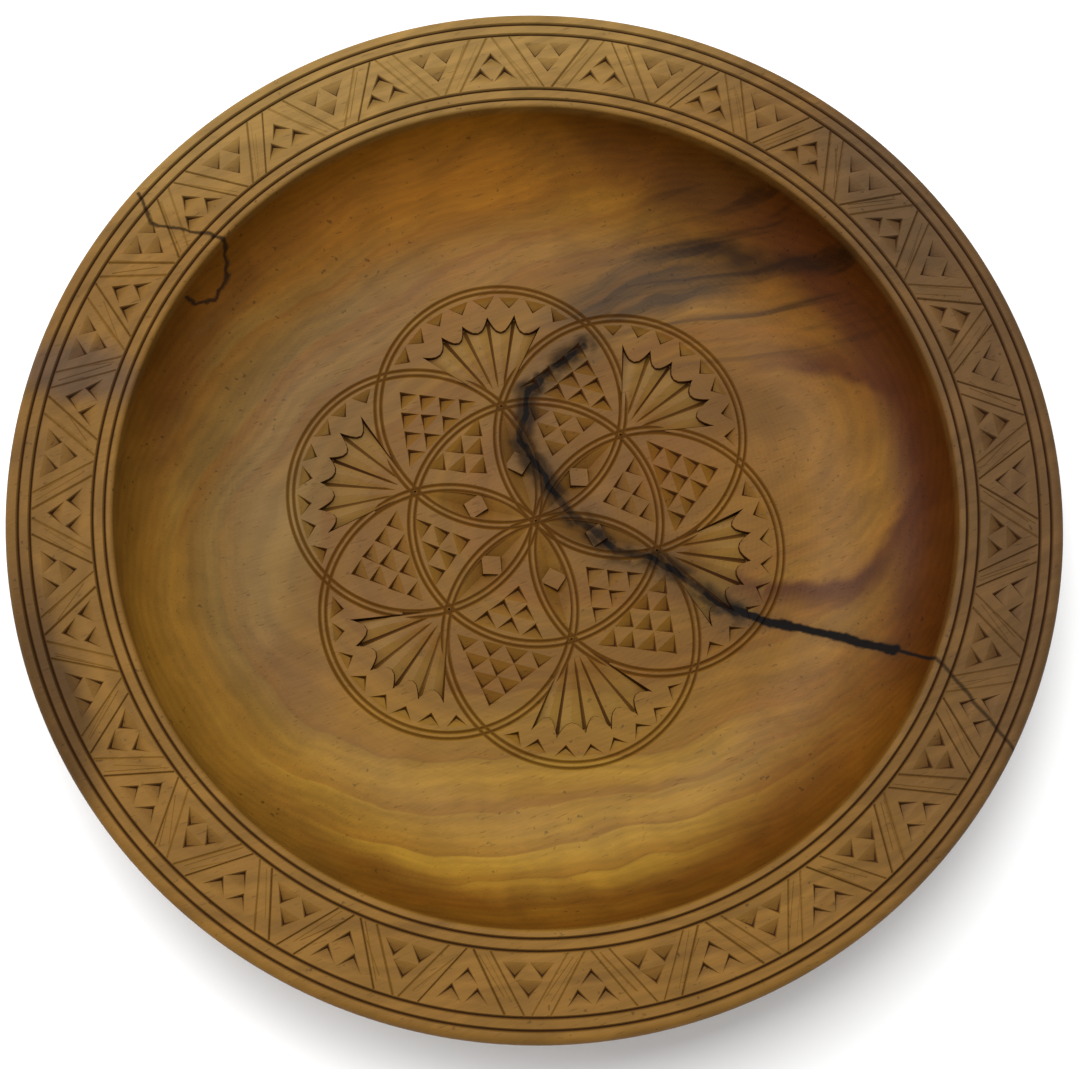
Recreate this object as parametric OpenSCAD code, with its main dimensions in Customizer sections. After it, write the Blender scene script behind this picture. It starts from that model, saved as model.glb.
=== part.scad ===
// A shallow wooden bowl, turned and then chip-carved, all in one piece of wood.
// Millimetres, +Z up. The origin is the middle of the foot, on the table.

/* [Bowl] */
// Diameter over the rim
bowl_d = 300; // [280:5:330]
// Height of the middle of the rim's top above the table
rim_h = 42; // [38:0.5:46]
// How far the flat floor lies below the lip
hollow_depth = 30; // [24:0.5:32]
// Thickness of the curved wall
wall = 8; // [6:0.5:9]

/* [Rim] */
// Width of the flat rim, from its edge to the lip
rim_w = 30; // [28:1:34]
// Slope of the rim, rising outwards
rim_slope = 2; // [0:0.5:3]
// Thickness of the rim at its outer edge
rim_edge = 4.8; // [4:0.2:6]
// Repeats of the rim's pattern: one pair of triangles each
rim_repeats = 25; // [22:1:26]
// Turn of the rim's pattern about the bowl's axis
rim_turn = -4.75; // [-8:0.05:8]

/* [Foot] */
// Diameter of the foot
foot_d = 168; // [150:2:170]
// Width of the ring that the bowl stands on
foot_ring = 9; // [6:0.5:12]
// Depth of the recess inside the foot
foot_recess = 2.5; // [1:0.5:3]

/* [Carving] */
// Radius of each of the rosette's seven circles
circle_r = 37.3; // [35:0.1:38]
// Turn of the rosette about the bowl's axis
rosette_turn = -13.55; // [-30:0.05:30]
// Width of a scored line
line_w = 0.9; // [0.6:0.1:1.2]
// Depth of a scored line
line_depth = 0.6; // [0.3:0.1:0.8]
// Depth of a three-cornered chip
chip_depth = 1.3; // [0.8:0.1:1.6]
// Depth of the long sunk leaves at their deep ends
leaf_depth = 1.8; // [1:0.1:2.2]

/* [Hidden] */
$fn = 180;
lift = 0.6;
bowl_r = bowl_d / 2;
lip_r = bowl_r - rim_w;
rim_mid_r = bowl_r - rim_w / 2;
edge_r = rim_edge / 2;
lip_round = 1.2;
foot_r = foot_d / 2;
cove_r = lip_r * 2 / 3;
lip_z = rim_top(lip_r);
floor_z = lip_z - hollow_depth;
arc_steps = 12;

// The rim's four scored rings, as distances in from its outer edge
ring_inset = [3.8, 7.1, 24.4, 27.7];
band_out = bowl_r - ring_inset[1];
band_in = bowl_r - ring_inset[2];

// Distance between the two lines of each of the rosette's circles
line_pair = 1.8;

// Chips: their width, their reach, and where along it they are deepest
chip_w = 6.6;
chip_reach = 4.2;
chip_deep = 0.62;
row_step = 4.7;
chip_step = 7.4;

// Height of the rim's top face at radius r
function rim_top(r) = rim_h + (r - rim_mid_r) * tan(rim_slope);

// Points of an elliptical arc below its centre, from one angle to another, measured from straight down
function arc(centre, size, from, to) =
    [for (i = [0:arc_steps])
        let (a = from + (to - from) * i / arc_steps)
        centre + [size.x * sin(a), -size.y * cos(a)]];

// Points of a smooth bend from a to c that leaves towards b
function bend(a, b, c) =
    [for (i = [1:arc_steps])
        let (t = i / arc_steps)
        a * pow(1 - t, 2) + b * 2 * t * (1 - t) + c * t * t];

// A V notch in the rim's top face, listed from outside to inside
function notch(r) =
    [[r + line_w / 2, rim_top(r + line_w / 2)],
     [r, rim_top(r) - line_depth],
     [r - line_w / 2, rim_top(r - line_w / 2)]];

// Half of the bowl's cross-section, as a turner's template
function half_section() =
    let (belly_from = asin((foot_r - cove_r) / (lip_r - cove_r + wall)),
         belly = arc([cove_r, lip_z], [lip_r - cove_r + wall, hollow_depth + wall], belly_from, 75),
         neck = belly[arc_steps],
         under_z = rim_top(bowl_r) - rim_edge,
         edge_c = [bowl_r - edge_r, rim_top(bowl_r) - edge_r])
    concat(
        [[0, foot_recess], [foot_r - foot_ring - foot_recess, foot_recess]],
        [[foot_r - foot_ring, 0], [foot_r - 1, 0], [foot_r, 1]],
        belly,
        bend(neck, [neck.x + 1.4, under_z - 1.6], [neck.x + 8, under_z - 1.1]),
        arc(edge_c, [edge_r, edge_r], 0, 180),
        [for (inset = ring_inset) each notch(bowl_r - inset)],
        arc([lip_r + lip_round, lip_z - lip_round], [lip_round, lip_round], 180, 270),
        [for (i = [1:arc_steps])
            let (a = 88 - 88 * i / arc_steps)
            [cove_r + (lip_r - cove_r) * sin(a), lip_z - hollow_depth * cos(a)]],
        [[0, floor_z]]);

module turned_blank() {
    rotate_extrude() polygon(half_section());
}

// A V groove that runs along +X from the origin
module scored_line(length) {
    spread = line_w / 2 * (line_depth + lift) / line_depth;
    rotate([90, 0, 90])
        linear_extrude(length)
            polygon([[-spread, lift], [0, -line_depth], [spread, lift]]);
}

// A scored circle, cut square at the bottom
module scored_circle(r) {
    rotate_extrude()
        translate([r - line_w / 2, -line_depth])
            square([line_w, line_depth + lift]);
}

// One three-cornered chip: its base edge crosses the origin and its point is towards +X
module chip(width = chip_w, reach = chip_reach) {
    deep = [reach * chip_deep, 0];
    grow = (chip_depth + lift) / chip_depth;
    outline = [[0, -width / 2], [reach, 0], [0, width / 2]];
    top = [for (p = outline) let (q = deep + (p - deep) * grow) [q.x, q.y, lift]];
    polyhedron(
        points = concat(top, [[deep.x, deep.y, -chip_depth]]),
        faces = [[2, 1, 0], [0, 1, 3], [1, 2, 3], [2, 0, 3]]);
}

// A sunk leaf: it slopes down from a point at the origin to two wings and the notch between them
module leaf(reach, half_w, notch_x, ridge) {
    outline = [[0, 0], [reach, -half_w], [notch_x, 0], [reach, half_w]];
    bottom = [0, -leaf_depth, -ridge, -leaf_depth];
    polyhedron(
        points = concat([for (p = outline) [p.x, p.y, lift]],
                        [for (i = [0:3]) [outline[i].x, outline[i].y, bottom[i]]]),
        faces = concat([[2, 1, 0], [3, 2, 0], [4, 5, 6], [4, 6, 7]],
                       [for (i = [0:3]) let (j = (i + 1) % 4) [i, j, j + 4]],
                       [for (i = [0:3]) let (j = (i + 1) % 4) [i, j + 4, i + 4]]));
}

// Puts its children on the rim's sloping top, with +X outwards
module on_rim(r, turn) {
    rotate([0, 0, turn])
        translate([r, 0, rim_top(r)])
            rotate([0, -rim_slope, 0])
                children();
}

// A triangle of the rim's pattern: two chips side by side and one beyond them
module rim_triangle(r, turn, outwards) {
    on_rim(r, turn)
        rotate([0, 0, outwards ? 0 : 180])
            for (spot = [[0, -0.5], [0, 0.5], [1, 0]])
                translate([spot.x * row_step, spot.y * chip_step, 0])
                    chip();
}

// The slanting pair of lines between two of the rim's triangles. Angles are shares of half a repeat,
// from the middle of the triangle that points outwards
module rim_slant(turn, side) {
    half_step = 180 / rim_repeats;
    lean = 0.62;
    gap = 0.9;
    for (share = [0.67, 0.95]) {
        near_r = band_in + gap;
        near = near_r * [cos(share * half_step), sin(share * half_step)];
        far_turn = (share - lean) * half_step;
        way = (band_out - gap) * [cos(far_turn), sin(far_turn)] - near;
        rotate([0, 0, turn])
            mirror([0, side, 0])
                translate([near.x, near.y, rim_top(near_r)])
                    rotate([0, 0, atan2(way.y, way.x)])
                        rotate([0, -rim_slope, 0])
                            scored_line(norm(way));
    }
}

module rim_carving() {
    step = 360 / rim_repeats;
    margin = 3.2;
    for (i = [0:rim_repeats - 1]) {
        turn = rim_turn + i * step;
        rim_triangle(band_in + margin, turn, true);
        rim_triangle(band_out - margin, turn + step / 2, false);
        for (side = [0, 1])
            rim_slant(turn, side);
    }
}

// One circle of the rosette, as two scored lines side by side
module double_circle() {
    for (side = [-1, 1])
        scored_circle(circle_r + side * line_pair / 2);
}

// Five leaves that spread from a hub and end in a scalloped edge
module fan() {
    start = 0.27 * circle_r;
    spread = 16.4;
    for (i = [-2:2])
        rotate([0, 0, i * spread])
            translate([start, 0, 0])
                leaf(0.75 * circle_r * cos(spread / 2) - start, 0.75 * circle_r * sin(spread / 2) + 0.15,
                     0.62 * circle_r - start, 0.7 * leaf_depth);
}

module border_chips() {
    spacing = 13.5;
    for (i = [0:7])
        rotate([0, 0, (i - 3.5) * spacing])
            translate([0.93 * circle_r, 0, 0])
                rotate([0, 0, 180])
                    chip(6.4, 3.2);
}

// Two sunk leaves on the line from the middle to a hub, with a raised square between their deep ends
module petal() {
    half_square = 4.2;
    start = 2.4;
    for (end = [0, 1])
        translate([end * circle_r, 0, 0])
            rotate([0, 0, end * 180])
                translate([start, 0, 0])
                    leaf(circle_r / 2 - start - 0.3, half_square - 0.6, circle_r / 2 - half_square - start,
                         leaf_depth);
}

// Rows of chips outside and inside the middle circle
module lattice() {
    for (row = [0:3])
        for (i = [0:3 - row])
            translate([circle_r + 1.7 + row * row_step, (i - (3 - row) / 2) * chip_step, 0])
                chip();
    for (row = [0:2])
        for (i = [0:2 - row])
            translate([circle_r - 2.7 - row * row_step, (i - (2 - row) / 2) * chip_step, 0])
                rotate([0, 0, 180])
                    chip();
}

// The mark that the compass's point leaves at each centre
module prick() {
    translate([0, 0, -chip_depth]) cylinder(h = chip_depth + lift, r = 0.6);
}

module rosette() {
    double_circle();
    prick();
    for (i = [0:5])
        rotate([0, 0, i * 60]) {
            petal();
            rotate([0, 0, 30]) lattice();
            translate([circle_r, 0, 0]) {
                double_circle();
                fan();
                border_chips();
                prick();
            }
        }
}

module bowl() {
    color("peru")
        difference() {
            turned_blank();
            rim_carving();
            translate([0, 0, floor_z]) rotate([0, 0, rosette_turn]) rosette();
        }
}

bowl();
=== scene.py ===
# %% [markdown]
# # A turned and chip-carved wooden bowl
#
# The real bowl is one block of wood. A turner shaped the foot, the curved wall and the wide flat rim on a
# lathe. A carver then cut the patterns with a short knife: scored rings, slanting lines and three-cornered
# chips on the rim, and a rosette of seven compass circles on the floor.
#
# This lesson keeps the makers' order. The blank is turned first, by spinning a profile. Each cut is then
# shaped once as a solid of the wood that the knife takes away, copied to its places, and taken out with a
# boolean. The last and longest step is the wood: its figure, ink stains, wax and wear.

# %% The frame that everything is measured from
import bpy
import math
import random
from mathutils import Matrix, Vector


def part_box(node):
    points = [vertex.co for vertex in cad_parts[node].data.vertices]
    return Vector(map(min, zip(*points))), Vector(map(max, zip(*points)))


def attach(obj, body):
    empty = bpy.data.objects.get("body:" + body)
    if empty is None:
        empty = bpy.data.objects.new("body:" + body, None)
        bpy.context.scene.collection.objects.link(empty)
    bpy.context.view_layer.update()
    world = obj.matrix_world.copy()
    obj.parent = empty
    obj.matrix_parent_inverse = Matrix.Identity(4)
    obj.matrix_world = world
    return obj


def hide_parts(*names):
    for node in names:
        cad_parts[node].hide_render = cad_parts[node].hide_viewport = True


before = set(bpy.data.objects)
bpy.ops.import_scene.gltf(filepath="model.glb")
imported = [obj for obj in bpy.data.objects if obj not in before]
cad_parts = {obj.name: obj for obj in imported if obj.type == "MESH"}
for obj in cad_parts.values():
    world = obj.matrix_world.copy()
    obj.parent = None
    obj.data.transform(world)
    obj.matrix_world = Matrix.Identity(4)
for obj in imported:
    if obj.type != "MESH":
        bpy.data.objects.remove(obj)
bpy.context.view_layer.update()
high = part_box("bowl")[1]

MM = 0.001
BOWL_R = high.x / MM
BOWL_H = high.z / MM
print(f"the bowl is {2 * BOWL_R:.1f} mm across and {BOWL_H:.1f} mm high")

# %% [markdown]
# ## Small helpers
#
# A Blender operator acts on whatever is selected, so every step starts by clearing the selection. Positions
# are written in millimetres and turned into metres in one place.

# %% Helpers for selecting and editing
def start(*objects):
    """Leaves edit mode, clears the selection, then selects the objects and makes the first one active."""
    if bpy.context.object and bpy.context.object.mode != "OBJECT":
        bpy.ops.object.mode_set(mode="OBJECT")
    bpy.ops.object.select_all(action="DESELECT")
    for piece in objects:
        piece.select_set(True)
    bpy.context.view_layer.objects.active = objects[0] if objects else None


def edit(piece, mode="VERT"):
    """Enters edit mode on one object with nothing selected."""
    start(piece)
    bpy.ops.object.mode_set(mode="EDIT")
    bpy.ops.mesh.select_mode(type=mode)
    bpy.ops.mesh.select_all(action="DESELECT")


def pick(piece, wanted):
    """In edit mode, selects only the vertices whose place in millimetres passes the test."""
    bpy.ops.mesh.select_all(action="DESELECT")
    bpy.ops.object.mode_set(mode="OBJECT")
    for vertex in piece.data.vertices:
        vertex.select = wanted(vertex.co / MM)
    bpy.ops.object.mode_set(mode="EDIT")


def clean_mesh(piece):
    """Merges doubles and turns every face outwards, then leaves edit mode."""
    bpy.ops.mesh.select_all(action="SELECT")
    bpy.ops.mesh.remove_doubles(threshold=0.002 * MM)
    bpy.ops.mesh.normals_make_consistent(inside=False)
    bpy.ops.object.mode_set(mode="OBJECT")
    return piece


def named(name):
    """Names the object that an operator has just added."""
    piece = bpy.context.object
    piece.name = piece.data.name = name
    return piece


# %% [markdown]
# ## Camera
#
# The bowl is seen from almost straight above, a little from its near side, as when it lies on a table and the
# viewer leans over it. The camera's matrix is built from the direction in which it looks, with the top of the
# image towards +Y.

# %% The camera
CAMERA_DISTANCE = 3.4 * BOWL_R
CAMERA_TILT = math.radians(12.76)
CAMERA_TURN = math.radians(-7.63)
LENS = 60.3
LOOK_AT = Vector((0.3, -11.0, 42.0))

towards_camera = Vector((math.sin(CAMERA_TILT) * math.sin(CAMERA_TURN),
                         -math.sin(CAMERA_TILT) * math.cos(CAMERA_TURN),
                         math.cos(CAMERA_TILT)))
image_right = Vector((0, 1, 0)).cross(towards_camera).normalized()
image_up = towards_camera.cross(image_right)
camera_data = bpy.data.cameras.new("camera")
camera_data.lens = LENS
camera = bpy.data.objects.new("camera", camera_data)
bpy.context.scene.collection.objects.link(camera)
camera.matrix_world = (Matrix.Translation((LOOK_AT + CAMERA_DISTANCE * towards_camera) * MM)
                       @ Matrix((image_right, image_up, towards_camera)).transposed().to_4x4())
bpy.context.scene.camera = camera
print("camera at", [round(value, 3) for value in camera.location])

# %% [markdown]
# ## Light
#
# A large soft panel overhead gives the even light in which the cuts show by the shade at their bottoms, and a
# weaker one from the far left puts a soft sheen on the waxed inside. The bright world fills the shadows.


# %% The lights
def panel(name, place, size, power):
    """A square area light at a place in metres, aimed at the bowl."""
    data = bpy.data.lights.new(name, "AREA")
    data.size = size
    data.energy = power
    light = bpy.data.objects.new(name, data)
    bpy.context.scene.collection.objects.link(light)
    light.location = place
    light.rotation_euler = (-Vector(place)).to_track_quat("-Z", "Y").to_euler()
    return light


panel("overhead_light", place=(-0.15, 0.48, 1.25), size=0.9, power=19)
panel("side_light", place=(-1.2, 0.3, 0.7), size=0.6, power=6)

world = bpy.data.worlds.new("studio")
world.use_nodes = True
world.node_tree.nodes["Background"].inputs["Color"].default_value = (1, 1, 1, 1)
world.node_tree.nodes["Background"].inputs["Strength"].default_value = 0.65
bpy.context.scene.world = world
bpy.context.scene.view_settings.view_transform = "Standard"

# %% [markdown]
# ## Floor
#
# A plain pale plane takes the bowl's soft shadow. It belongs to the picture and not to the object, so it is
# staged and never exported.

# %% The floor
start()
bpy.ops.mesh.primitive_plane_add(size=6)
floor = named("floor")
paint = bpy.data.materials.new("pale_floor")
paint.use_nodes = True
shader = paint.node_tree.nodes["Principled BSDF"]
shader.inputs["Base Color"].default_value = (0.9, 0.9, 0.9, 1)
shader.inputs["Roughness"].default_value = 0.9
floor.data.materials.append(paint)

# %% [markdown]
# ## Turning the blank
#
# On the lathe the bowl's shape is one profile swept round an axis, so it is made the same way here. A single
# vertex is extruded along the profile, from the recess in the foot, round the outside, over the rim and down
# the wall to the edge of the floor, and the line is spun round. The four scored rings of the rim are V-shaped
# notches in that profile, because the turner cut them while the wood was spinning.

# %% The turned form's sizes, in millimetres
RIM_W = 30.0
RIM_SLOPE = math.tan(math.radians(2))
RIM_EDGE = 4.8
RING_INSETS = (3.8, 7.1, 24.4, 27.7)
RING_W = 1.15
RING_DEPTH = 0.85
LIP_ROUND = 1.2
WALL = 8.0
HOLLOW_DEPTH = 30.0
FOOT_R = 84.0
FOOT_RING = 9.0
FOOT_RECESS = 2.5

LIP_R = BOWL_R - RIM_W
RIM_MID_R = BOWL_R - RIM_W / 2
RIM_H = BOWL_H - RIM_SLOPE * RIM_W / 2
COVE_R = LIP_R * 2 / 3


def rim_top(radius):
    """Height of the rim's top face at a radius."""
    return RIM_H + (radius - RIM_MID_R) * RIM_SLOPE


LIP_Z = rim_top(LIP_R)
FLOOR_Z = LIP_Z - HOLLOW_DEPTH
BAND_OUT = BOWL_R - RING_INSETS[1]
BAND_IN = BOWL_R - RING_INSETS[2]
print(f"the floor lies {FLOOR_Z:.2f} mm up, and the rim's carved band runs from {BAND_IN} to {BAND_OUT} mm")


# %% Curves for the profile
def arc(centre, size, first, last, steps):
    """Points of an elliptical arc, with angles measured from straight down towards the outside."""
    points = []
    for i in range(steps + 1):
        angle = math.radians(first + (last - first) * i / steps)
        points.append((centre[0] + size[0] * math.sin(angle), centre[1] - size[1] * math.cos(angle)))
    return points


def bend(a, b, c, steps):
    """Points of a smooth bend from a to c that leaves towards b, without a itself."""
    points = []
    for i in range(1, steps + 1):
        t = i / steps
        points.append(tuple(a[k] * (1 - t) ** 2 + b[k] * 2 * t * (1 - t) + c[k] * t * t for k in (0, 1)))
    return points


# %% The profile
def profile():
    """The bowl's half section from the foot's recess to the edge of the flat floor."""
    belly_size = (LIP_R - COVE_R + WALL, HOLLOW_DEPTH + WALL)
    belly_from = math.degrees(math.asin((FOOT_R - COVE_R) / belly_size[0]))
    belly = arc((COVE_R, LIP_Z), belly_size, belly_from, 75, 20)
    neck = belly[-1]
    under_z = rim_top(BOWL_R) - RIM_EDGE
    edge_r = RIM_EDGE / 2
    points = [(FOOT_R - FOOT_RING - FOOT_RECESS, FOOT_RECESS), (FOOT_R - FOOT_RING - 0.4, 0.3)]
    points += [(FOOT_R - FOOT_RING, 0), (FOOT_R - 1, 0), (FOOT_R - 0.3, 0.3), (FOOT_R, 1)]
    points += belly
    points += bend(neck, (neck[0] + 1.4, under_z - 1.6), (neck[0] + 8, under_z - 1.1), 10)
    points += arc((BOWL_R - edge_r, rim_top(BOWL_R) - edge_r), (edge_r, edge_r), 0, 180, 14)
    for inset in RING_INSETS:
        middle = BOWL_R - inset
        for offset, deep in ((0.5, 0), (0, RING_DEPTH), (-0.5, 0)):
            point_r = middle + offset * RING_W
            points.append((point_r, rim_top(point_r) - deep))
    points += arc((LIP_R + LIP_ROUND, LIP_Z - LIP_ROUND), (LIP_ROUND, LIP_ROUND), 180, 268, 8)
    points += arc((COVE_R, LIP_Z), (LIP_R - COVE_R, HOLLOW_DEPTH), 87, 0, 26)
    return points


# %% Spinning the profile
def turn_blank(points, steps):
    """Extrudes one vertex along the profile, spins the line and closes the floor and the foot."""
    start()
    bpy.ops.mesh.primitive_plane_add(size=MM)
    blank = named("carved_bowl")
    edit(blank)
    bpy.ops.mesh.select_all(action="SELECT")
    bpy.ops.mesh.merge(type="CENTER")
    here = (0.0, 0.0)
    for number, point in enumerate(points):
        step = ((point[0] - here[0]) * MM, 0, (point[1] - here[1]) * MM)
        if number == 0:
            bpy.ops.transform.translate(value=step)
        else:
            bpy.ops.mesh.extrude_region_move(TRANSFORM_OT_translate={"value": step})
        here = point
    bpy.ops.mesh.select_all(action="SELECT")
    bpy.ops.mesh.spin(steps=steps, angle=math.tau, center=(0, 0, 0), axis=(0, 0, 1))
    bpy.ops.mesh.select_all(action="SELECT")
    bpy.ops.mesh.remove_doubles(threshold=0.01 * MM)
    for edge_r, edge_z in (points[0], points[-1]):
        pick(blank, lambda at: math.hypot(at.x, at.y) < edge_r + 0.05 and abs(at.z - edge_z) < 0.05)
        bpy.ops.mesh.edge_face_add()
    return clean_mesh(blank)


BLANK_STEPS = 288
bowl = turn_blank(profile(), BLANK_STEPS)
print("turned blank:", len(bowl.data.vertices), "vertices,", len(bowl.data.polygons), "faces")

# %% [markdown]
# ## The knife's cuts as solids
#
# A carver makes only a few kinds of cut here, so each is modelled once. A three-cornered chip comes out with
# three strokes that meet below the surface, close to the chip's point: one long, gentle slope from its base,
# and two steep walls at its point, which look dark. A scored line is a V that two strokes leave. Both solids
# stand a little above the surface, so that the boolean cuts cleanly.

# %% One chip and one line
LIFT = 0.5
CHIP_W = 6.9
CHIP_REACH = 4.6
CHIP_DEEP = 0.72
CHIP_DEPTH = 1.35
LINE_W = 1.0
LINE_DEPTH = 0.6


def chip_cutter(width=CHIP_W, reach=CHIP_REACH, depth=CHIP_DEPTH):
    """A chip whose base edge crosses the origin and whose point is towards +Y."""
    grow = (depth + LIFT) / depth
    start()
    bpy.ops.mesh.primitive_cone_add(vertices=3, radius1=0, radius2=MM, depth=(depth + LIFT) * MM,
                                    location=(0, 0, (LIFT - depth) / 2 * MM))
    cutter = named("chip_cutter")
    bpy.ops.object.transform_apply(location=True, rotation=False, scale=False)
    edit(cutter)
    bpy.ops.mesh.select_all(action="SELECT")
    bpy.ops.transform.resize(value=(width * grow / math.sqrt(3), reach * grow / 1.5, 1),
                             center_override=(0, 0, 0))
    pick(cutter, lambda at: at.z > 0)
    bpy.ops.transform.translate(value=(0, (1 / 3 - CHIP_DEEP) * reach * grow * MM, 0))
    bpy.ops.mesh.select_all(action="SELECT")
    bpy.ops.transform.translate(value=(0, CHIP_DEEP * reach * MM, 0))
    return clean_mesh(cutter)


def line_cutter(width=LINE_W, depth=LINE_DEPTH):
    """A V-shaped line one millimetre long, from the origin towards +Y."""
    spread = width * (depth + LIFT) / depth
    start()
    bpy.ops.mesh.primitive_cube_add(size=MM, location=(0, MM / 2, (LIFT - depth) / 2 * MM),
                                    scale=(spread, 1, depth + LIFT))
    cutter = named("line_cutter")
    bpy.ops.object.transform_apply(location=True, rotation=False, scale=True)
    edit(cutter)
    pick(cutter, lambda at: at.z < 0)
    bpy.ops.transform.resize(value=(0, 0.94, 1))
    return clean_mesh(cutter)


chip = chip_cutter()
line = line_cutter()
print("chip:", len(chip.data.vertices), "corners; line:", len(line.data.vertices), "corners")

# %% [markdown]
# ## Taking the cuts out of the wood
#
# Every cut is a copy of a cutter with its own mesh, moved by a matrix. A boolean modifier then takes a whole
# group of copies out at once, which is far quicker than one by one. Its manifold solver wants solids that
# don't touch each other, so cuts that would overlap go into different groups.


# %% Placing a copy
def copy_of(cutter, placing):
    """A copy with its own mesh, moved by a matrix that is in millimetres."""
    duplicate = cutter.copy()
    duplicate.data = cutter.data.copy()
    to_metres = Matrix.Scale(MM, 4)
    duplicate.data.transform(to_metres @ placing @ to_metres.inverted())
    bpy.context.scene.collection.objects.link(duplicate)
    return duplicate


def turned(degrees):
    return Matrix.Rotation(math.radians(degrees), 4, "Z")


def moved(x, y, z=0.0):
    return Matrix.Translation((x, y, z))


def stretched(x=1.0, y=1.0, z=1.0):
    return Matrix.Diagonal((x, y, z, 1))


# %% Taking a group of copies out
def carve(block, cutters):
    """Joins the cutters into one object and takes it out of the block of wood."""
    start(*cutters)
    if len(cutters) > 1:
        bpy.ops.object.join()
    tool = bpy.context.object
    start(block)
    bpy.ops.object.modifier_add(type="BOOLEAN")
    cut = block.modifiers[-1]
    cut.operation = "DIFFERENCE"
    cut.solver = "MANIFOLD"
    cut.object = tool
    bpy.ops.object.modifier_apply(modifier=cut.name)
    bpy.data.objects.remove(tool)


# %% [markdown]
# ## The rim
#
# Twenty-five pairs of triangles go round the band between the second and third rings. One triangle points
# outwards and the next inwards, each with three chips that leave a small raised lozenge between them, and a
# slanting strip with a scored line along each edge parts them. It was all cut by eye, so every copy is
# shifted, turned and scaled a little by a seeded random number.

# %% The rim's pattern and the carver's small errors
RIM_REPEATS = 25
RIM_TURN = -4.75
STEP = 360 / RIM_REPEATS
# From one row of chips to the next, from chip to chip in a row, and from the band's edge to the first row
ROW_STEP = 4.9
CHIP_STEP = 7.4
MARGIN = 2.7
# The three chips of a triangle: their row, and their place along it in chip steps
TRIANGLE = ((0, -0.5), (0, 0.5), (1, 0))
# How far a slanting strip leans over the band's width, as a share of half a repeat
STRIP_LEAN = 0.62
hand = random.Random(25)


def by_hand(shift=0.2, turn=4.0, size=0.07):
    """The small error of one cut that is made by eye."""
    scale = 1 + hand.uniform(-size, size)
    slip = moved(hand.uniform(-shift, shift), hand.uniform(-shift, shift))
    twist = turned(hand.uniform(-turn, turn))
    return slip @ twist @ stretched(scale, scale, 1 + hand.uniform(-size, size))


# %% Places on the sloping rim
def on_rim(radius, angle):
    """Places a cut on the rim's sloping top, with +Y outwards."""
    tilt = Matrix.Rotation(math.atan(RIM_SLOPE), 4, "X")
    return turned(angle - 90) @ moved(0, radius, rim_top(radius)) @ tilt


def line_between(a, b, width=1.0, depth=1.0):
    """Places the one-millimetre line from a to b, both (x, y, z)."""
    way = Vector(b) - Vector(a)
    flat = math.hypot(way.x, way.y)
    tilt = Matrix.Rotation(math.atan2(way.z, flat), 4, "X")
    return (moved(*a) @ turned(math.degrees(math.atan2(way.y, way.x)) - 90) @ tilt
            @ stretched(width, way.length, depth))


def rim_point(radius, angle):
    """A point on the rim's top face."""
    turn = math.radians(angle)
    return radius * math.cos(turn), radius * math.sin(turn), rim_top(radius)


# %% Chips and slanting lines of the rim
def rim_chips(row, across):
    """One of the three chips of a triangle, for all the rim's triangles."""
    cuts = []
    for repeat in range(RIM_REPEATS):
        middle = RIM_TURN + repeat * STEP
        for outwards in (True, False):
            radius = BAND_IN + MARGIN if outwards else BAND_OUT - MARGIN
            place = on_rim(radius, middle + (0 if outwards else STEP / 2)) @ turned(0 if outwards else 180)
            cuts.append(copy_of(chip, place @ moved(across * CHIP_STEP, row * ROW_STEP) @ by_hand()))
    return cuts


def rim_lines():
    """The two scored lines of every slanting strip."""
    cuts = []
    for repeat in range(RIM_REPEATS):
        for side in (-1, 1):
            for share in (0.67, 0.95):
                begin = share + hand.uniform(-0.02, 0.02)
                near = RIM_TURN + (repeat + side * begin / 2) * STEP
                far = RIM_TURN + (repeat + side * (begin - STRIP_LEAN) / 2) * STEP
                ends = rim_point(BAND_IN + 0.3, near), rim_point(BAND_OUT - 0.3, far)
                width = hand.uniform(0.6, 0.95)
                cuts.append(copy_of(line, line_between(*ends, width=width, depth=hand.uniform(0.5, 0.9))))
    return cuts


# %% Faint marks on the strips
def rim_scratches(share):
    """Faint marks along the strips, where the knife's tip ran on."""
    cuts = []
    for repeat in range(RIM_REPEATS):
        for side in (-1, 1):
            near = RIM_TURN + (repeat + side * (share + hand.uniform(-0.03, 0.03)) / 2) * STEP
            far = near - side * STRIP_LEAN * hand.uniform(0.7, 0.9) * STEP / 2
            inner = rim_point(BAND_IN + hand.uniform(0.5, 4), near)
            outer = rim_point(BAND_OUT - hand.uniform(1, 5), far)
            cuts.append(copy_of(line, line_between(inner, outer, width=0.35, depth=hand.uniform(0.15, 0.3))))
    return cuts


# %% Carving the rim
for row, across in TRIANGLE:
    carve(bowl, rim_chips(row, across))
carve(bowl, rim_lines())
for share in (0.76, 0.84):
    carve(bowl, rim_scratches(share))
print("carved rim:", len(bowl.data.polygons), "faces")

# %% [markdown]
# ## The rosette's circles
#
# The carver set out seven equal circles with a compass: one in the middle and six round it, each centred on
# the first and passing through its middle. Every circle is a pair of V lines with a narrow ridge between
# them. A torus with only four sides round its tube has a diamond for its section, and the lower half of that
# diamond is just such a V.

# %% Circles
CIRCLE_R = 37.3
ROSETTE_TURN = -13.55
LINE_PAIR = 1.8
SCRIBE_W = 1.2
SCRIBE_DEPTH = 0.5
HUBS = [ROSETTE_TURN + 60 * number for number in range(6)]


def hub_place(angle):
    """Moves a cut from the rosette's middle to the hub at an angle."""
    return turned(angle) @ moved(CIRCLE_R, 0)


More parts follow.
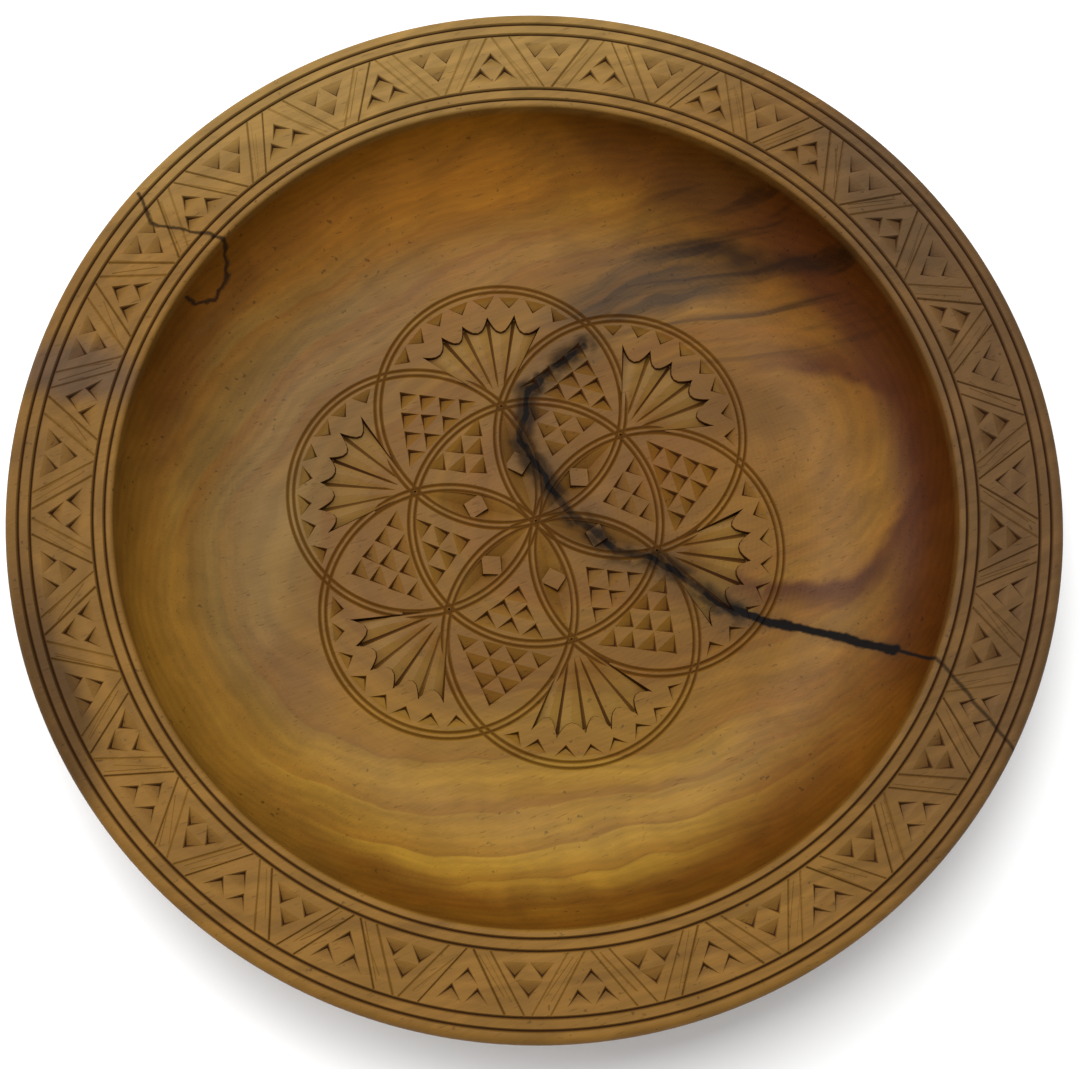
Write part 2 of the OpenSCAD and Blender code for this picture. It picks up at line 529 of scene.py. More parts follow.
def circle_cutter(radius):
    """One V-shaped ring with its middle plane at the origin."""
    start()
    bpy.ops.mesh.primitive_torus_add(major_segments=168, minor_segments=4, major_radius=radius * MM,
                                     minor_radius=SCRIBE_W / 2 * MM)
    cutter = named("circle_cutter")
    edit(cutter)
    bpy.ops.mesh.select_all(action="SELECT")
    bpy.ops.transform.resize(value=(1, 1, 2 * SCRIBE_DEPTH / SCRIBE_W))
    return clean_mesh(cutter)


rings = [circle_cutter(CIRCLE_R + side * LINE_PAIR / 2) for side in (-1, 1)]
for place in [turned(0)] + [hub_place(angle) for angle in HUBS]:
    wobble = moved(hand.uniform(-0.15, 0.15), hand.uniform(-0.15, 0.15), FLOOR_Z)
    carve(bowl, [copy_of(ring, wobble @ place) for ring in rings])
for ring in rings:
    bpy.data.objects.remove(ring)
print("circles cut:", len(bowl.data.polygons), "faces")

# %% [markdown]
# ## Fans
#
# The outer part of each circle holds a fan. Five rays run down from near the hub, parted by V valleys, and
# end at a steep stop cut in the shape of five lobes with sharp cusps between them. The wood below is modelled
# as a sheet whose columns follow the rays: a grid is laid out in polar form and pulled straight up into a
# solid, so its lower face becomes the carved surface and its sides become the stop cut.

# %% A sheet that becomes a cutter
# A sheet starts a little above the floor, so that the cut fades in, and is pulled well out of the wood
SHEET_TOP = 0.05
SHEET_PULL = 4.0


def sheet_cutter(name, across, along, place, lean):
    """A grid whose corners go to place(u, v) in millimetres, for u and v from 0 to 1, pulled up into a solid.

    The knife leans when it makes the stop cut, so the solid widens upwards, away from the origin.
    """
    start()
    bpy.ops.mesh.primitive_grid_add(x_subdivisions=across, y_subdivisions=along, size=1)
    cutter = named(name)
    for vertex in cutter.data.vertices:
        u = round((vertex.co.x + 0.5) * across) / across
        v = round((vertex.co.y + 0.5) * along) / along
        vertex.co = Vector(place(u, v)) * MM
    edit(cutter, "FACE")
    bpy.ops.mesh.select_all(action="SELECT")
    bpy.ops.mesh.extrude_region_move(TRANSFORM_OT_translate={"value": (0, 0, SHEET_PULL * MM)})
    bpy.ops.transform.resize(value=(1 + lean, 1 + lean, 1), center_override=(0, 0, 0))
    return clean_mesh(cutter)


# %% The shape of a fan
FAN_RAYS = 5
FAN_SPREAD = 16.4
FAN_START = 0.22 * CIRCLE_R
FAN_CUSP = 0.755 * CIRCLE_R
FAN_LOBE = 0.645 * CIRCLE_R
FAN_DEPTH = 2.3
# Where the sheet's columns lie across one ray: closer together near the sharp valleys
RAY_COLUMNS = (0, 0.07, 0.17, 0.3, 0.5, 0.7, 0.83, 0.93)


def fan_cutter():
    """One fan with its hub at the origin and its middle ray along +X."""
    per_ray = len(RAY_COLUMNS)
    turns = [(ray - FAN_RAYS / 2) * FAN_SPREAD + hand.uniform(-1, 1) for ray in range(FAN_RAYS + 1)]
    cusps = [FAN_CUSP * (1 + hand.uniform(-0.03, 0.03)) for ray in range(FAN_RAYS + 1)]
    lobes = [FAN_LOBE * (1 + hand.uniform(-0.03, 0.03)) for ray in range(FAN_RAYS)]

    def place(u, v):
        column = round(u * FAN_RAYS * per_ray)
        ray = min(column // per_ray, FAN_RAYS - 1)
        share = 1.0 if column == FAN_RAYS * per_ray else RAY_COLUMNS[column % per_ray]
        turn = math.radians(turns[ray] + (turns[ray + 1] - turns[ray]) * share)
        lean = abs(2 * share - 1) ** 2.2
        cusp = cusps[ray] if share < 0.5 else cusps[ray + 1]
        reach = lobes[ray] + (cusp - lobes[ray]) * lean
        radius = FAN_START + (reach - FAN_START) * v
        valley = abs(2 * share - 1) ** 1.6
        deep = FAN_DEPTH * (0.5 * v + 0.5 * v ** 0.7 * valley)
        return radius * math.cos(turn), radius * math.sin(turn), SHEET_TOP - deep

    cutter = sheet_cutter("fan_cutter", FAN_RAYS * per_ray, 8, place, 0.04)
    return cutter, list(zip(turns, cusps))


# %% Rays and all six fans
def ray_line(turn, cusp):
    """A scored line down the valley between two rays, from near the hub to the cusp."""
    way = Vector((math.cos(math.radians(turn)), math.sin(math.radians(turn)), 0))
    top = way * (FAN_START - 3)
    bottom = way * (cusp - 0.3)
    return line_between((top.x, top.y, 0.5), (bottom.x, bottom.y, 0.15 - FAN_DEPTH),
                        width=hand.uniform(0.95, 1.25), depth=hand.uniform(0.7, 0.95))


fans, rays = [], []
for angle in HUBS:
    fan, ends = fan_cutter()
    place = moved(0, 0, FLOOR_Z) @ hub_place(angle)
    fan.data.transform(Matrix.Scale(MM, 4) @ place @ Matrix.Scale(1 / MM, 4))
    fans.append(fan)
    rays.append([place @ ray_line(*end) for end in ends])
carve(bowl, fans)
for first in (0, 1):
    carve(bowl, [copy_of(line, place) for fan_rays in rays for place in fan_rays[first::2]])
print("fans cut:", len(bowl.data.polygons), "faces")

# %% [markdown]
# ## Petals
#
# Six petals run from the middle of the rosette to the hubs, between the lines of two neighbouring circles.
# Halfway along each a small square was left standing on its corner, and on both sides of it the wood was cut
# away in a long leaf that is deepest against the square.

# %% Petals
HALF_SQUARE = 3.9
LEAF_START = 3.4
LEAF_DEPTH = 2.0


def petal_half_width(x):
    """Half the petal's width between its two circles, less room for their lines."""
    half = CIRCLE_R / 2
    return math.sqrt(CIRCLE_R ** 2 - (x - half) ** 2) - CIRCLE_R * math.sqrt(3) / 2 - 1.45


def leaf_place(u, v):
    """A point of the leaf beside the square, for sheet_cutter."""
    side = 2 * u - 1
    end = CIRCLE_R / 2 - HALF_SQUARE + abs(side) * 3.3
    x = LEAF_START + (end - LEAF_START) * v
    y = side * max(0.12, petal_half_width(x))
    return x, y, SHEET_TOP - LEAF_DEPTH * v ** 0.9 * (1 - 0.6 * abs(side))


leaf = sheet_cutter("leaf_cutter", 6, 8, leaf_place, 0.05)
leaves = []
for angle in HUBS:
    for end in (0, 1):
        from_end = moved(end * CIRCLE_R, 0) @ turned(180 * end)
        leaves.append(copy_of(leaf, moved(0, 0, FLOOR_Z) @ turned(angle) @ from_end @ by_hand(0.1, 1, 0.02)))
carve(bowl, leaves)
print("petals cut:", len(bowl.data.polygons), "faces")

# %% [markdown]
# ## Lattices and borders
#
# Between the hubs, rows of chips leave a lattice of small squares: four rows outside the middle circle, three
# inside it. A last row of chips runs inside each circle's edge, above its fan, and a prick from the compass
# marks every centre.

# %% Chips of the rosette
BORDER_STEP = 13.5
LATTICE_ROW = 4.7


def chip_at(x, y, heading, width=1.0, reach=1.0, depth=1.0):
    """A chip with its base at x, y and its point towards a heading, counted from +X."""
    return moved(x, y, FLOOR_Z) @ turned(heading - 90) @ stretched(width, reach, depth) @ by_hand()


def lattice_cuts(angle, odd_row, odd_number):
    """Every second chip of every second row, so that no two solids of one cut touch."""
    cuts = []
    for first, heading, rows in ((CIRCLE_R + 1.6, 0, 4), (CIRCLE_R - 2.7, 180, 3)):
        sign = 1 if heading == 0 else -1
        for row in range(odd_row, rows, 2):
            count = rows - row
            for number in range(odd_number, count, 2):
                across = (number - (count - 1) / 2) * CHIP_STEP
                spot = chip_at(first + sign * row * LATTICE_ROW, across, heading)
                cuts.append(copy_of(chip, turned(angle + 30) @ spot))
    return cuts


def border_cuts(angle):
    """The row of chips inside the outer edge of one circle."""
    cuts = []
    for number in range(8):
        turn = (number - 3.5) * BORDER_STEP + hand.uniform(-1, 1)
        spot = turned(turn) @ chip_at(0.935 * CIRCLE_R, 0, 180, width=0.95, reach=0.8, depth=0.95)
        cuts.append(copy_of(chip, hub_place(angle) @ spot))
    return cuts


def prick_cutter():
    """The small pit that the compass's point leaves."""
    start()
    bpy.ops.mesh.primitive_cone_add(vertices=8, radius1=0.15 * MM, radius2=0.75 * MM, depth=2 * MM,
                                    location=(0, 0, FLOOR_Z * MM))
    cutter = named("prick_cutter")
    bpy.ops.object.transform_apply(location=True, rotation=False, scale=False)
    return cutter


# %% Carving the lattices, borders and pricks
for odd_row in (0, 1):
    for odd_number in (0, 1):
        carve(bowl, [cut for angle in HUBS for cut in lattice_cuts(angle, odd_row, odd_number)])
carve(bowl, [cut for angle in HUBS for cut in border_cuts(angle)])
prick = prick_cutter()
carve(bowl, [copy_of(prick, turned(0))] + [copy_of(prick, hub_place(angle)) for angle in HUBS])
for cutter in (chip, line, leaf, prick):
    bpy.data.objects.remove(cutter)
print("rosette cut:", len(bowl.data.polygons), "faces")

# %% [markdown]
# ## Smooth and crisp faces
#
# The turned faces meet at small angles and should look round, while the knife's cuts have crisp edges. Smooth
# shading by angle gives both.

# %% Shading by angle
start(bowl)
bpy.ops.object.shade_smooth_by_angle(angle=math.radians(17))
print("smooth faces:", sum(face.use_smooth for face in bowl.data.polygons), "of", len(bowl.data.polygons))

# %% [markdown]
# ## The wood
#
# The colours of this bowl are mostly the wood's own. Some are painted light and shade: a painted sheen and
# painted light on the inside, painted shade on the wall's darker sides and in the cuts, and a painted
# reflection at the top of the rim. It is a honey-coloured timber with long streaks that climb to the upper
# right, stained grey along one wandering ink line where a fungus once grew in the tree. The inside was waxed
# and has a satin sheen; the rim was left drier and paler. Dust and old wax have darkened every cut.
#
# The material is computed from the place of each point on the bowl, in millimetres. A small class wraps a
# socket, so that the sums below can be written like ordinary arithmetic.

# %% A socket that can be used in sums
class Wire:
    """An output socket of the wood's node tree."""

    tree = None

    def __init__(self, socket):
        self.socket = socket

    @classmethod
    def node(cls, kind, settings=None, values=None, output=0):
        """Adds a node, fills its inputs with wires or constants, and returns one of its outputs."""
        made = cls.tree.nodes.new(kind)
        for name, value in (settings or {}).items():
            setattr(made, name, value)
        for key, value in (values or {}).items():
            if isinstance(value, Wire):
                cls.tree.links.new(value.socket, made.inputs[key])
            else:
                made.inputs[key].default_value = value
        return cls(made.outputs[output])

    @classmethod
    def math(cls, operation, *values, clamp=False):
        """A Math node whose inputs are wires or numbers."""
        settings = {"operation": operation, "use_clamp": clamp}
        return cls.node("ShaderNodeMath", settings, dict(enumerate(values)))

    def __add__(self, other):
        return Wire.math("ADD", self, other)

    def __radd__(self, other):
        return Wire.math("ADD", other, self)

    def __sub__(self, other):
        return Wire.math("SUBTRACT", self, other)

    def __rsub__(self, other):
        return Wire.math("SUBTRACT", other, self)

    def __mul__(self, other):
        return Wire.math("MULTIPLY", self, other)

    def __rmul__(self, other):
        return Wire.math("MULTIPLY", other, self)

    def __truediv__(self, other):
        return Wire.math("DIVIDE", self, other)

    def __pow__(self, other):
        return Wire.math("POWER", self, other)


# %% The wood's material
wood = bpy.data.materials.new("carved_wood")
wood.use_nodes = True
shader = wood.node_tree.nodes["Principled BSDF"]
Wire.tree = wood.node_tree


def count_nodes(step):
    """Prints how many nodes the wood has so far."""
    print(f"nodes with {step}: {len(wood.node_tree.nodes)}")


count_nodes("the plain shader")

# %% [markdown]
# ### Tools for patterns
#
# A few short functions stand for the nodes that are used again and again, so that a pattern reads like a
# sentence. They return wires, apart from direction, which gives three plain numbers.


# %% Tools for vectors
def vector(operation, a, b):
    return Wire.node("ShaderNodeVectorMath", {"operation": operation}, {0: a, 1: b})


def dot(a, b):
    return Wire.node("ShaderNodeVectorMath", {"operation": "DOT_PRODUCT"}, {0: a, 1: b}, output="Value")


def length(a):
    return Wire.node("ShaderNodeVectorMath", {"operation": "LENGTH"}, {0: a}, output="Value")


def scaled(a, factor):
    return Wire.node("ShaderNodeVectorMath", {"operation": "SCALE"}, {0: a, "Scale": factor})


def combined(x, y, z):
    return Wire.node("ShaderNodeCombineXYZ", {}, {0: x, 1: y, 2: z})


def direction(degrees):
    """A level unit vector, counted from +X."""
    return (math.cos(math.radians(degrees)), math.sin(math.radians(degrees)), 0)


# %% Tools for masks and colours
def smooth(value, first, last):
    """Goes softly from 0 at the first value to 1 at the last."""
    return Wire.node("ShaderNodeMapRange", {"interpolation_type": "SMOOTHSTEP"},
                     {"Value": value, "From Min": first, "From Max": last})


def within(distance, core, edge):
    """1 up to the core distance, and 0 beyond the edge."""
    return 1 - smooth(distance, core, edge)


def strongest(*masks):
    """The largest of several masks at each point."""
    most = masks[0]
    for mask in masks[1:]:
        most = Wire.math("MAXIMUM", most, mask)
    return most


def noise(place, size, detail=3.0, output=0):
    """Cloudy noise from 0 to 1 with features of a size in millimetres."""
    return Wire.node("ShaderNodeTexNoise", {}, {"Vector": place, "Scale": 1 / size, "Detail": detail}, output)


def mix(amount, a, b, blend="MIX"):
    """Mixes two colours. A colour is a wire or three numbers."""
    inputs = {0: amount}
    for key, paint in ((6, a), (7, b)):
        inputs[key] = paint if isinstance(paint, Wire) else (*paint, 1)
    return Wire.node("ShaderNodeMix", {"data_type": "RGBA", "blend_type": blend}, inputs, output=2)


# %% The point that is being coloured
# Facing is 1 where the surface looks straight up, 0 where it is upright and negative where it looks down
spot = scaled(Wire.node("ShaderNodeTexCoord", output="Object"), 1 / MM)
height = dot(spot, (0, 0, 1))
radius = length(vector("MULTIPLY", spot, (1, 1, 0)))
facing = dot(Wire.node("ShaderNodeTexCoord", output="Normal"), (0, 0, 1))


def pushed(place, push, distance):
    """A place moved by a noise that is read as a direction."""
    return vector("ADD", place, scaled(push, distance))


drift = vector("SUBTRACT", noise(spot, 34, 2, output=1), (0.5, 0.5, 0.5))
ripple = vector("SUBTRACT", noise(spot, 5, 3, output=1), (0.5, 0.5, 0.5))
flowing = pushed(spot, drift, 16)
wandering = pushed(flowing, ripple, 2.5)
cloud = noise(spot, 22, 4)
count_nodes("the places")

# %% [markdown]
# ### Where things are
#
# Masks answer the question "how much of this is here?" with a number from 0 to 1. There are masks for the
# rim, the wall, the insides of the cuts and patches of colour. Borders in the wood are bent by noise, because
# nothing in a tree is straight. The borders of the knife's work are not.

# %% Rim, wall and inside
upward = smooth(facing, -0.1, 0.2)
beyond_lip = smooth(radius, LIP_R - 0.6, LIP_R + 0.6)
rim = beyond_lip * upward
inside = (1 - beyond_lip) * upward
wall = inside * smooth(radius + (cloud - 0.5) * 16, LIP_R - 16, LIP_R - 5)


def towards(degrees, first, last, place=spot):
    """Grows along a level direction, from 0 at the first distance from the axis to 1 at the last."""
    return smooth(dot(place, direction(degrees)), first, last)


def patch(x, y, half_long, half_wide, turn=0.0, soft=0.5):
    """An oval patch with a soft border, its long side turned from +X."""
    off = vector("SUBTRACT", wandering, (x, y, 0))
    u = dot(off, direction(turn)) / half_long
    v = dot(off, direction(turn + 90)) / half_wide
    return within((u * u + v * v) ** 0.5, 1 - soft, 1 + soft)


# %% The insides of the cuts
steep = 1 - smooth(facing, 0.55, 0.86)
slanting = (1 - smooth(facing, 0.72, 0.93)) * upward
below_rim = RIM_H + (radius - RIM_MID_R) * RIM_SLOPE - height
between_edges = smooth(radius, LIP_R + 1.2, LIP_R + 1.6) * within(radius, BOWL_R - 3.2, BOWL_R - 2.8)
rim_cut = smooth(below_rim, 0.06, 0.8) * within(below_rim, 1.9, 2.3) * between_edges
below_floor = FLOOR_Z - height
on_floor = within(radius, COVE_R - 1, COVE_R) * within(below_floor, 2.5, 3.5)
floor_cut = smooth(below_floor, 0.06, 1.1) * on_floor
# Painted shade in the shallow slanting sides of the floor's cuts, mostly the scored lines
painted_groove_shade = slanting * smooth(below_floor, 0.02, 0.3) * on_floor
cut = strongest(rim_cut, floor_cut)
# Dirt and old wax in the cuts, with painted shade on their steep walls
dirt_and_shade = cut * (0.03 + 0.97 * steep)

# The fans lie towards the hubs, beyond the middle circle
heading = Wire.math("ARCTAN2", dot(spot, (0, 1, 0)), dot(spot, (1, 0, 0)))
towards_hub = Wire.math("COSINE", len(HUBS) * heading - math.radians(len(HUBS) * ROSETTE_TURN))
beyond_hub = smooth(radius, CIRCLE_R + 3.7, CIRCLE_R + 7.7)
# Paler fresh wood on the fans, with a painted highlight
fan_wood_and_highlight = floor_cut * (1 - steep) * smooth(towards_hub, -0.35, 0.3) * beyond_hub
count_nodes("the masks")

# %% [markdown]
# ### Ink lines
#
# Spalted wood has thin black lines where two fungi met in the tree. Each is a list of a few points, given in
# millimetres on the bowl, and a mask of the distance from the line through them. Noise bends the lines. In
# the longest one it also varies the blackness, and a grey halo lies round that line.


# %% Distance from a line
def line_distance(points, place):
    """Distance in the ground plane from a line through a list of points."""
    flat = vector("MULTIPLY", place, (1, 1, 0))
    nearest = None
    for a, b in zip(points, points[1:]):
        step = (b[0] - a[0], b[1] - a[1], 0)
        off = vector("SUBTRACT", flat, (*a, 0))
        squared = step[0] ** 2 + step[1] ** 2
        share = Wire.math("MULTIPLY", dot(off, step), 1 / squared, clamp=True)
        distance = length(vector("SUBTRACT", off, scaled(step, share)))
        nearest = Wire.math("MINIMUM", nearest, distance) if nearest else distance
    return nearest


# %% The routes of the lines
# One long line: through the rosette from its upper middle, thick up the wall, and thin over the rim
INK_THIN = [(15, 55), (6, 49), (-3, 40), (-3, 34), (-5, 25), (1, 16), (6, 8), (11, 2), (19, -4), (24, -9),
            (35, -11), (44, -17), (59, -28)]
INK_THICK = [(55, -25), (67, -30), (78, -32), (93, -36), (104, -40.5)]
INK_RIM = [(103, -40), (107, -42), (110, -44), (116, -51), (126, -64), (136, -77)]
# A thin loop at the upper left of the wall and the rim
INK_LEFT = [(-117, 90), (-113, 81), (-103, 79), (-92, 77), (-92, 71), (-96, 63), (-103, 60)]
# Places where the ink has run, and how far: x, y, size
BLOTS = [(-5, 24, 3.6), (19, -4, 3.2), (1, 45, 3), (7, 50, 2.4)]
# The dark streak at the upper right
STREAK = [(10, 74), (34, 82), (48, 85), (67, 82), (80, 79), (98, 74)]

# %% Ink and its halo
nearby = pushed(spot, ripple, 3)
thin_line = line_distance(INK_THIN, nearby)
thick_line = line_distance(INK_THICK, nearby)
rim_line = line_distance(INK_RIM, pushed(spot, ripple, 1.2))
left_line = line_distance(INK_LEFT, nearby)
streak_line = line_distance(STREAK, wandering)
patchy = smooth(noise(spot, 9, 3), 0.32, 0.55)
blots = [within(length(vector("SUBTRACT", nearby, (x, y, FLOOR_Z))), 0.5, size) * 0.9 for x, y, size in BLOTS]
ink = strongest(within(thin_line, 0.6, 2.2) * (0.72 + 0.28 * patchy),
                within(thin_line, 1.8, 5.0) * 0.78 * patchy,
                within(thick_line, 0.9, 1.9),
                within(rim_line, 0.15, 0.9) * (0.95 - 0.25 * rim),
                within(left_line, 0.15, 0.85) * 0.8,
                *blots)
halo = within(thin_line, 2, 13) * 0.6 + within(thick_line, 1, 5) * 0.45
count_nodes("the ink")

# %% [markdown]
# ### The figure
#
# A tree grows in rings round its pith. The blank was sawn beside the pith, so the distance from a level line
# below the bowl gives the rings. They come out as long streaks on the floor, and because a real pith is never
# quite level, they close into long loops. Fibres and pores are noise that is stretched along the grain.

# %% Growth rings and streaks
# The grain's heading in degrees, then in millimetres: the pith's depth, the loops' middle, and a ring's width
GRAIN = 21
PITH_DEPTH = 65
CROWN_AT = 55
RING_STEP = 10.5

along = dot(flowing, direction(GRAIN))
across = dot(flowing, direction(GRAIN + 90))
depth = height + PITH_DEPTH
from_crown = (along - CROWN_AT) * 0.5
loop = (across * across + from_crown * from_crown) ** 0.5
long_place = combined(along * 0.035 + across * 0.06, loop, depth * 0.4)
phase = (loop * loop + depth * depth) ** 0.5 / RING_STEP + 1.3 * noise(long_place, 30, 2)
ring_share = Wire.math("FRACT", phase)
late_wood = smooth(ring_share, 0.25, 0.95) * within(ring_share, 0.95, 1.0)
fine_rings = 0.5 + 0.5 * Wire.math("SINE", phase * 23)
flow = smooth(noise(long_place, 20, 3), 0.35, 0.65)
broad = smooth(noise(long_place, 11, 3), 0.38, 0.64)
streaks = smooth(noise(long_place, 3.4, 4), 0.36, 0.66)
mottle = smooth(noise(flowing, 13, 4), 0.36, 0.66)

# %% Fibres, pores and specks
straight_along = dot(spot, direction(GRAIN))
straight_across = dot(spot, direction(GRAIN + 90))
fibres = noise(combined(straight_along * 0.03, straight_across, height), 0.45, 2)
pores = smooth(noise(combined(straight_along * 0.14, straight_across, height), 0.62, 1), 0.69, 0.76)
speckled = smooth(noise(spot, 24, 2), 0.44, 0.6) + patch(-66, 84, 40, 18, turn=38)
specks = smooth(noise(spot, 1.9, 2), 0.66, 0.74) * smooth(speckled, 0, 1)
count_nodes("the figure")

# %% [markdown]
# ### Colours of the inside
#
# The layers follow the order in which they lie in the wood: general colour, broad patches, the wall, and the
# darker wood in the middle that hands and food have touched. Some patches and the wall hold painted light and
# shade. A colour is a reflectance, as linear red, green and blue, so it looks darker as a number than in the
# light.

# %% Colours
GOLD = (0.175, 0.078, 0.0068)
HONEY = (0.145, 0.058, 0.0045)
BRIGHT = (0.275, 0.148, 0.0135)
# A paler, greyer colour for a painted sheen
PAINTED_SHEEN_CREAM = (0.13, 0.071, 0.0145)
PALE = (0.225, 0.137, 0.033)
STRAW = (0.215, 0.105, 0.0125)
# An orange for painted light on the far wall
PAINTED_LIGHT_ORANGE = (0.25, 0.092, 0.006)
AMBER = (0.145, 0.052, 0.0035)
RUSSET = (0.05, 0.0155, 0.0028)
DEEP = (0.052, 0.0115, 0.0006)
UMBER = (0.013, 0.0042, 0.0007)
GREY = (0.036, 0.0175, 0.0035)
HANDLED = (0.075, 0.036, 0.004)
INK = (0.003, 0.0019, 0.0014)
# Old wax and dust, and painted shade, on the steep walls of the cuts
WAX_DIRT_AND_SHADE = (0.024, 0.0062, 0.0018)

# %% The floor's broad colours
colour = mix(flow, HONEY, GOLD)
# Painted sheen: the left of the floor is paler and greyer, as where the wax catches the light
colour = mix(towards(165, 38, 78, wandering) * 0.78, colour, PAINTED_SHEEN_CREAM)
# Painted light: the near side of the inside, towards -Y, is brighter, as where the light falls on it
painted_light_below = towards(-90, 44, 76, wandering) * (1 - 0.75 * towards(0, 46, 72, wandering))
colour = mix(painted_light_below * (0.5 + 0.4 * broad), colour, BRIGHT)
colour = mix(towards(45, 80, 106, wandering) * (0.55 + 0.35 * streaks), colour, AMBER)
colour = mix(late_wood * 0.5, colour, AMBER)
colour = mix(patch(-84, -14, 34, 14, turn=78) * 0.3, colour, PALE)
count_nodes("the floor's colours")


# %% The wall, darker on some sides and brighter on others, partly the wood and partly painted light and shade
def on_wall(first, last):
    """Grows outwards on the inside of the bowl, between two distances from the lip."""
    return smooth(radius, LIP_R - first, LIP_R - last) * inside


# The wall's darker orange: partly its end grain and finish, partly painted shade
colour = mix(wall * 0.8, colour, AMBER)
# Painted light: the far wall, towards +Y, faces away from the lamps and is made brighter
painted_top_light = on_wall(36, 10) * towards(98, 60, 105) * (1 - 0.85 * towards(0, -30, 35, wandering))
colour = mix(painted_top_light * 0.85, colour, PAINTED_LIGHT_ORANGE)
# Each side of the wall made darker or brighter, partly the wood and partly painted light and shade
for side, first, last, outer, inner, strength, tint in (
        (-40, 80, 106, 28, 12, 0.35, DEEP),
        (15, 72, 102, 16, 8, 0.85, DEEP),
        (205, 84, 106, 22, 12, 0.75, STRAW),
        (55, 90, 110, 22, 8, 0.6, DEEP),
        (155, 76, 112, 14, 7, 0.4, DEEP),
        (-90, 60, 105, 14, 6, 0.35, DEEP)):
    colour = mix(on_wall(outer, inner) * towards(side, first, last) * strength, colour, tint)
colour = mix(within(radius, 56, 84) * (0.12 + 0.3 * mottle), colour, HANDLED)
count_nodes("the wall's colours")

# %% [markdown]
# ### Oval, stains and dark streaks
#
# At the right the wood closes round a pale oval with a dark border. Above it lies grey, stained wood with
# dark streaks that rise towards the rim. The grey follows the finer streaks, as a stain in wood does.

# %% The pale oval
oval_off = vector("SUBTRACT", wandering, (78, 13, 0))
oval = length(vector("MULTIPLY", oval_off, (1 / 38, 1 / 35, 0)))
oval_border = smooth(oval, 0.9, 1.0) * within(oval, 1.0, 1.28)
colour = mix(within(oval, 0.5, 1.0) * 0.5 * inside, colour, GOLD)
colour = mix(oval_border * towards(-15, 40, 75) * 0.85 * inside, colour, DEEP)

# %% The grey stains and the dark streaks
stain = strongest(patch(34, 74, 32, 9, turn=14, soft=0.35) * 0.95,
                  patch(62, 36, 18, 9, turn=-10) * 0.35,
                  patch(45, 96, 40, 9, turn=22) * 0.4,
                  halo)
colour = mix(stain * inside * (0.5 + 0.5 * streaks), colour, GREY)
dark_streak = within(streak_line, 0.4, 4.5) * (0.7 + 0.3 * streaks) * towards(0, 0, 60)
colour = mix(dark_streak * 0.95, colour, UMBER)

sweep = pushed(spot, drift, 5)
sweep_along = dot(sweep, direction(16))
sweep_across = dot(sweep, direction(106))
sweep_place = combined(sweep_along * 0.02, sweep_across + sweep_along * sweep_along * 0.0012, height * 0.2)
side_streaks = patch(70, 78, 52, 30, turn=14) * smooth(noise(sweep_place, 3.2, 2), 0.5, 0.7)
colour = mix(side_streaks * inside * 0.6, colour, UMBER)
count_nodes("the stains")

# %% [markdown]
# ### The rim's colours
#
# The rim is drier and paler than the inside, brightest at the top, where a painted reflection lies, and
# greyer at the right, with three dark stains. The outside and the foot are not waxed either, so they share
# its colours.

# %% The rim and the outside
TAN = (0.175, 0.085, 0.0145)
DULL_TAN = (0.16, 0.075, 0.013)
# A paler colour for a painted reflection at the top of the rim
PAINTED_REFLECTION = (0.26, 0.16, 0.045)
RIGHT_BROWN = (0.075, 0.038, 0.0145)
LEFT_BROWN = (0.09, 0.045, 0.012)
RIGHT_STAIN = (0.055, 0.034, 0.018)
LEFT_STAIN = (0.05, 0.03, 0.021)

rim_colour = mix(broad * 0.5, TAN, DULL_TAN)
# Painted reflection: the rim is paler towards the top, at +Y
rim_colour = mix(towards(105, 90, 140) * 0.6, rim_colour, PAINTED_REFLECTION)
rim_colour = mix(towards(10, 40, 140) * 0.8, rim_colour, RIGHT_BROWN)
rim_colour = mix(towards(180, 110, 145) * 0.35, rim_colour, LEFT_BROWN)
rim_colour = mix(patch(103, 92, 26, 14, turn=118) * 0.4, rim_colour, RIGHT_STAIN)
rim_colour = mix(patch(-135, 36, 22, 8, turn=-5) * 0.65, rim_colour, LEFT_STAIN)
rim_colour = mix(patch(-134, -58, 34, 7, turn=112) * 0.6, rim_colour, UMBER)
colour = mix(1 - inside, colour, rim_colour)
count_nodes("the rim's colours")

# %% [markdown]
# ### Fine marks, ink, dirt and painted light and shade
#
# The finest marks multiply the colour, because they darken light and dark wood by the same share. Ink goes on
# top, then what lies in the cuts: paler fresh wood with a painted highlight in the fans, a brown tone on the
# chips' slopes, painted shade in the scored lines, and old wax and dust with painted shade on the steep
# walls.

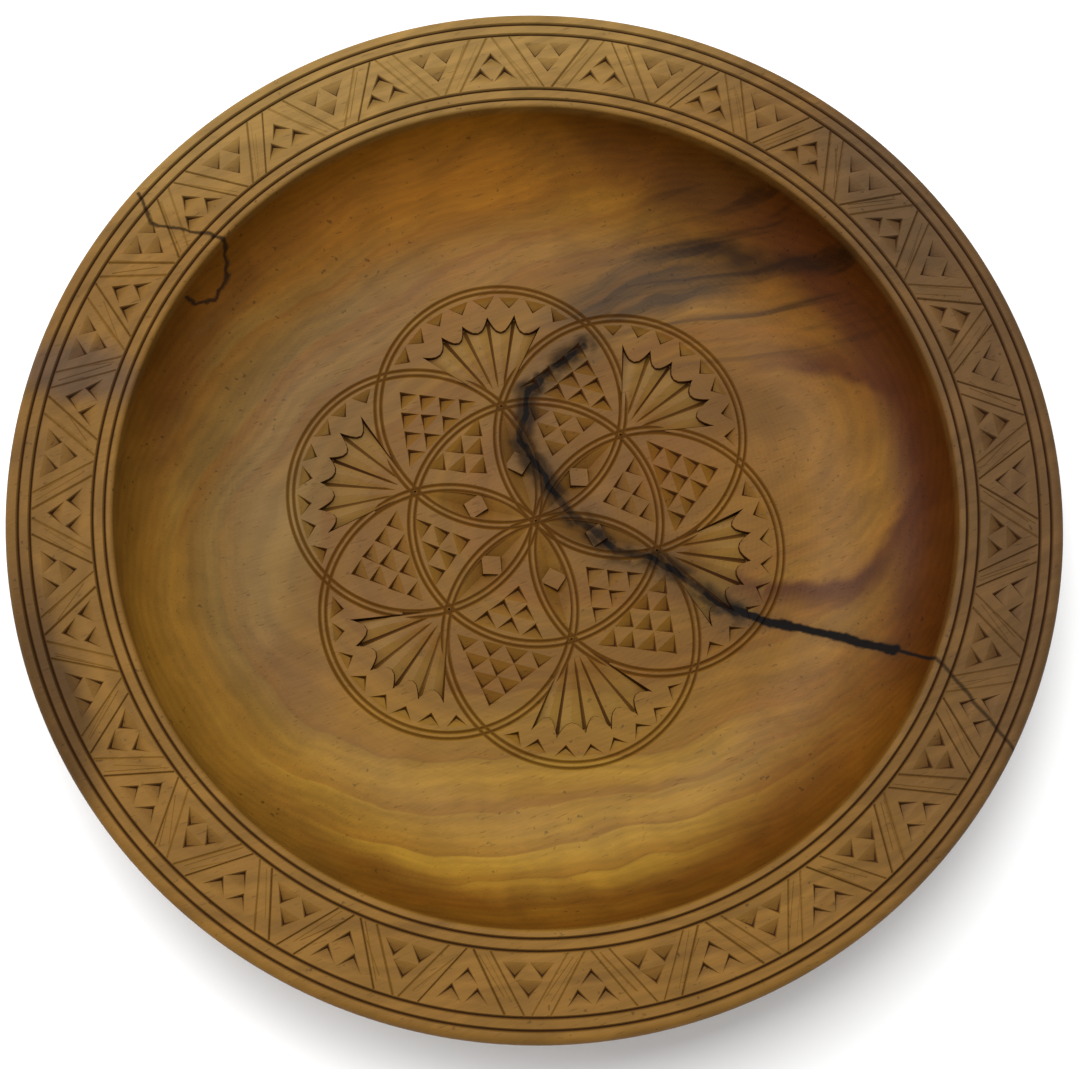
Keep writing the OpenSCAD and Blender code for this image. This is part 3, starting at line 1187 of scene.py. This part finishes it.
# %% Fine marks, ink, dirt and painted light and shade
LIFT_COLOUR = 1.16
figure = 1 - 0.07 * fine_rings - 0.22 * (1 - fibres) - 0.12 * (1 - streaks)
figure = figure * (1 - 0.3 * pores) * (1 - 0.45 * specks) * (0.9 + 0.16 * mottle) * LIFT_COLOUR
colour = mix(1.0, colour, combined(figure, figure, figure), "MULTIPLY")
colour = mix(ink, colour, INK)
# Paler fresh wood and a painted highlight on the fans
colour = mix(fan_wood_and_highlight * (1 - ink) * 0.28, colour, PALE)
colour = mix((cut - fan_wood_and_highlight) * (1 - steep) * (1 - ink) * 0.16, colour, RUSSET)
# Painted shade in the scored lines
colour = mix(painted_groove_shade * (1 - ink) * 0.65, colour, RUSSET)
# Old wax and dust, with painted shade, on the steep walls of the cuts
colour = mix(dirt_and_shade * 0.9, colour, WAX_DIRT_AND_SHADE)
count_nodes("the fine marks")

# %% [markdown]
# ### Gloss and relief
#
# Wax fills the wood's pores unevenly, so the gloss varies in soft smears. The rim, the dirt and the ink are
# duller. A faint bump holds what is too fine for the mesh: fibres, pores and the marks of the lathe's tool.

# %% Gloss and relief
smear = noise(spot, 16, 4)
gloss = 0.3 + 0.16 * smear + 0.12 * (1 - fibres)
gloss = gloss + 0.16 * (1 - inside) + 0.3 * dirt_and_shade + 0.35 * ink
tool_marks = Wire.math("SINE", radius * 4.2) * 0.05
relief = 0.22 * fibres - 0.35 * pores + tool_marks
bump = Wire.node("ShaderNodeBump", {}, {"Height": relief, "Strength": 0.35, "Distance": 0.25 * MM},
                 output="Normal")

shader.inputs["IOR"].default_value = 1.45
shader.inputs["Specular IOR Level"].default_value = 0.13
for name, value in (("Base Color", colour), ("Roughness", gloss), ("Normal", bump)):
    wood.node_tree.links.new(value.socket, shader.inputs[name])
bowl.data.materials.clear()
bowl.data.materials.append(wood)
count_nodes("gloss and relief")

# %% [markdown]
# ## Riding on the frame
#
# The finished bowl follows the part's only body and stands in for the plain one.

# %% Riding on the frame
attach(bowl, "root")
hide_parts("bowl")
triangles = sum(len(face.vertices) - 2 for face in bowl.data.polygons)
print("the carved bowl has", triangles, "triangles")
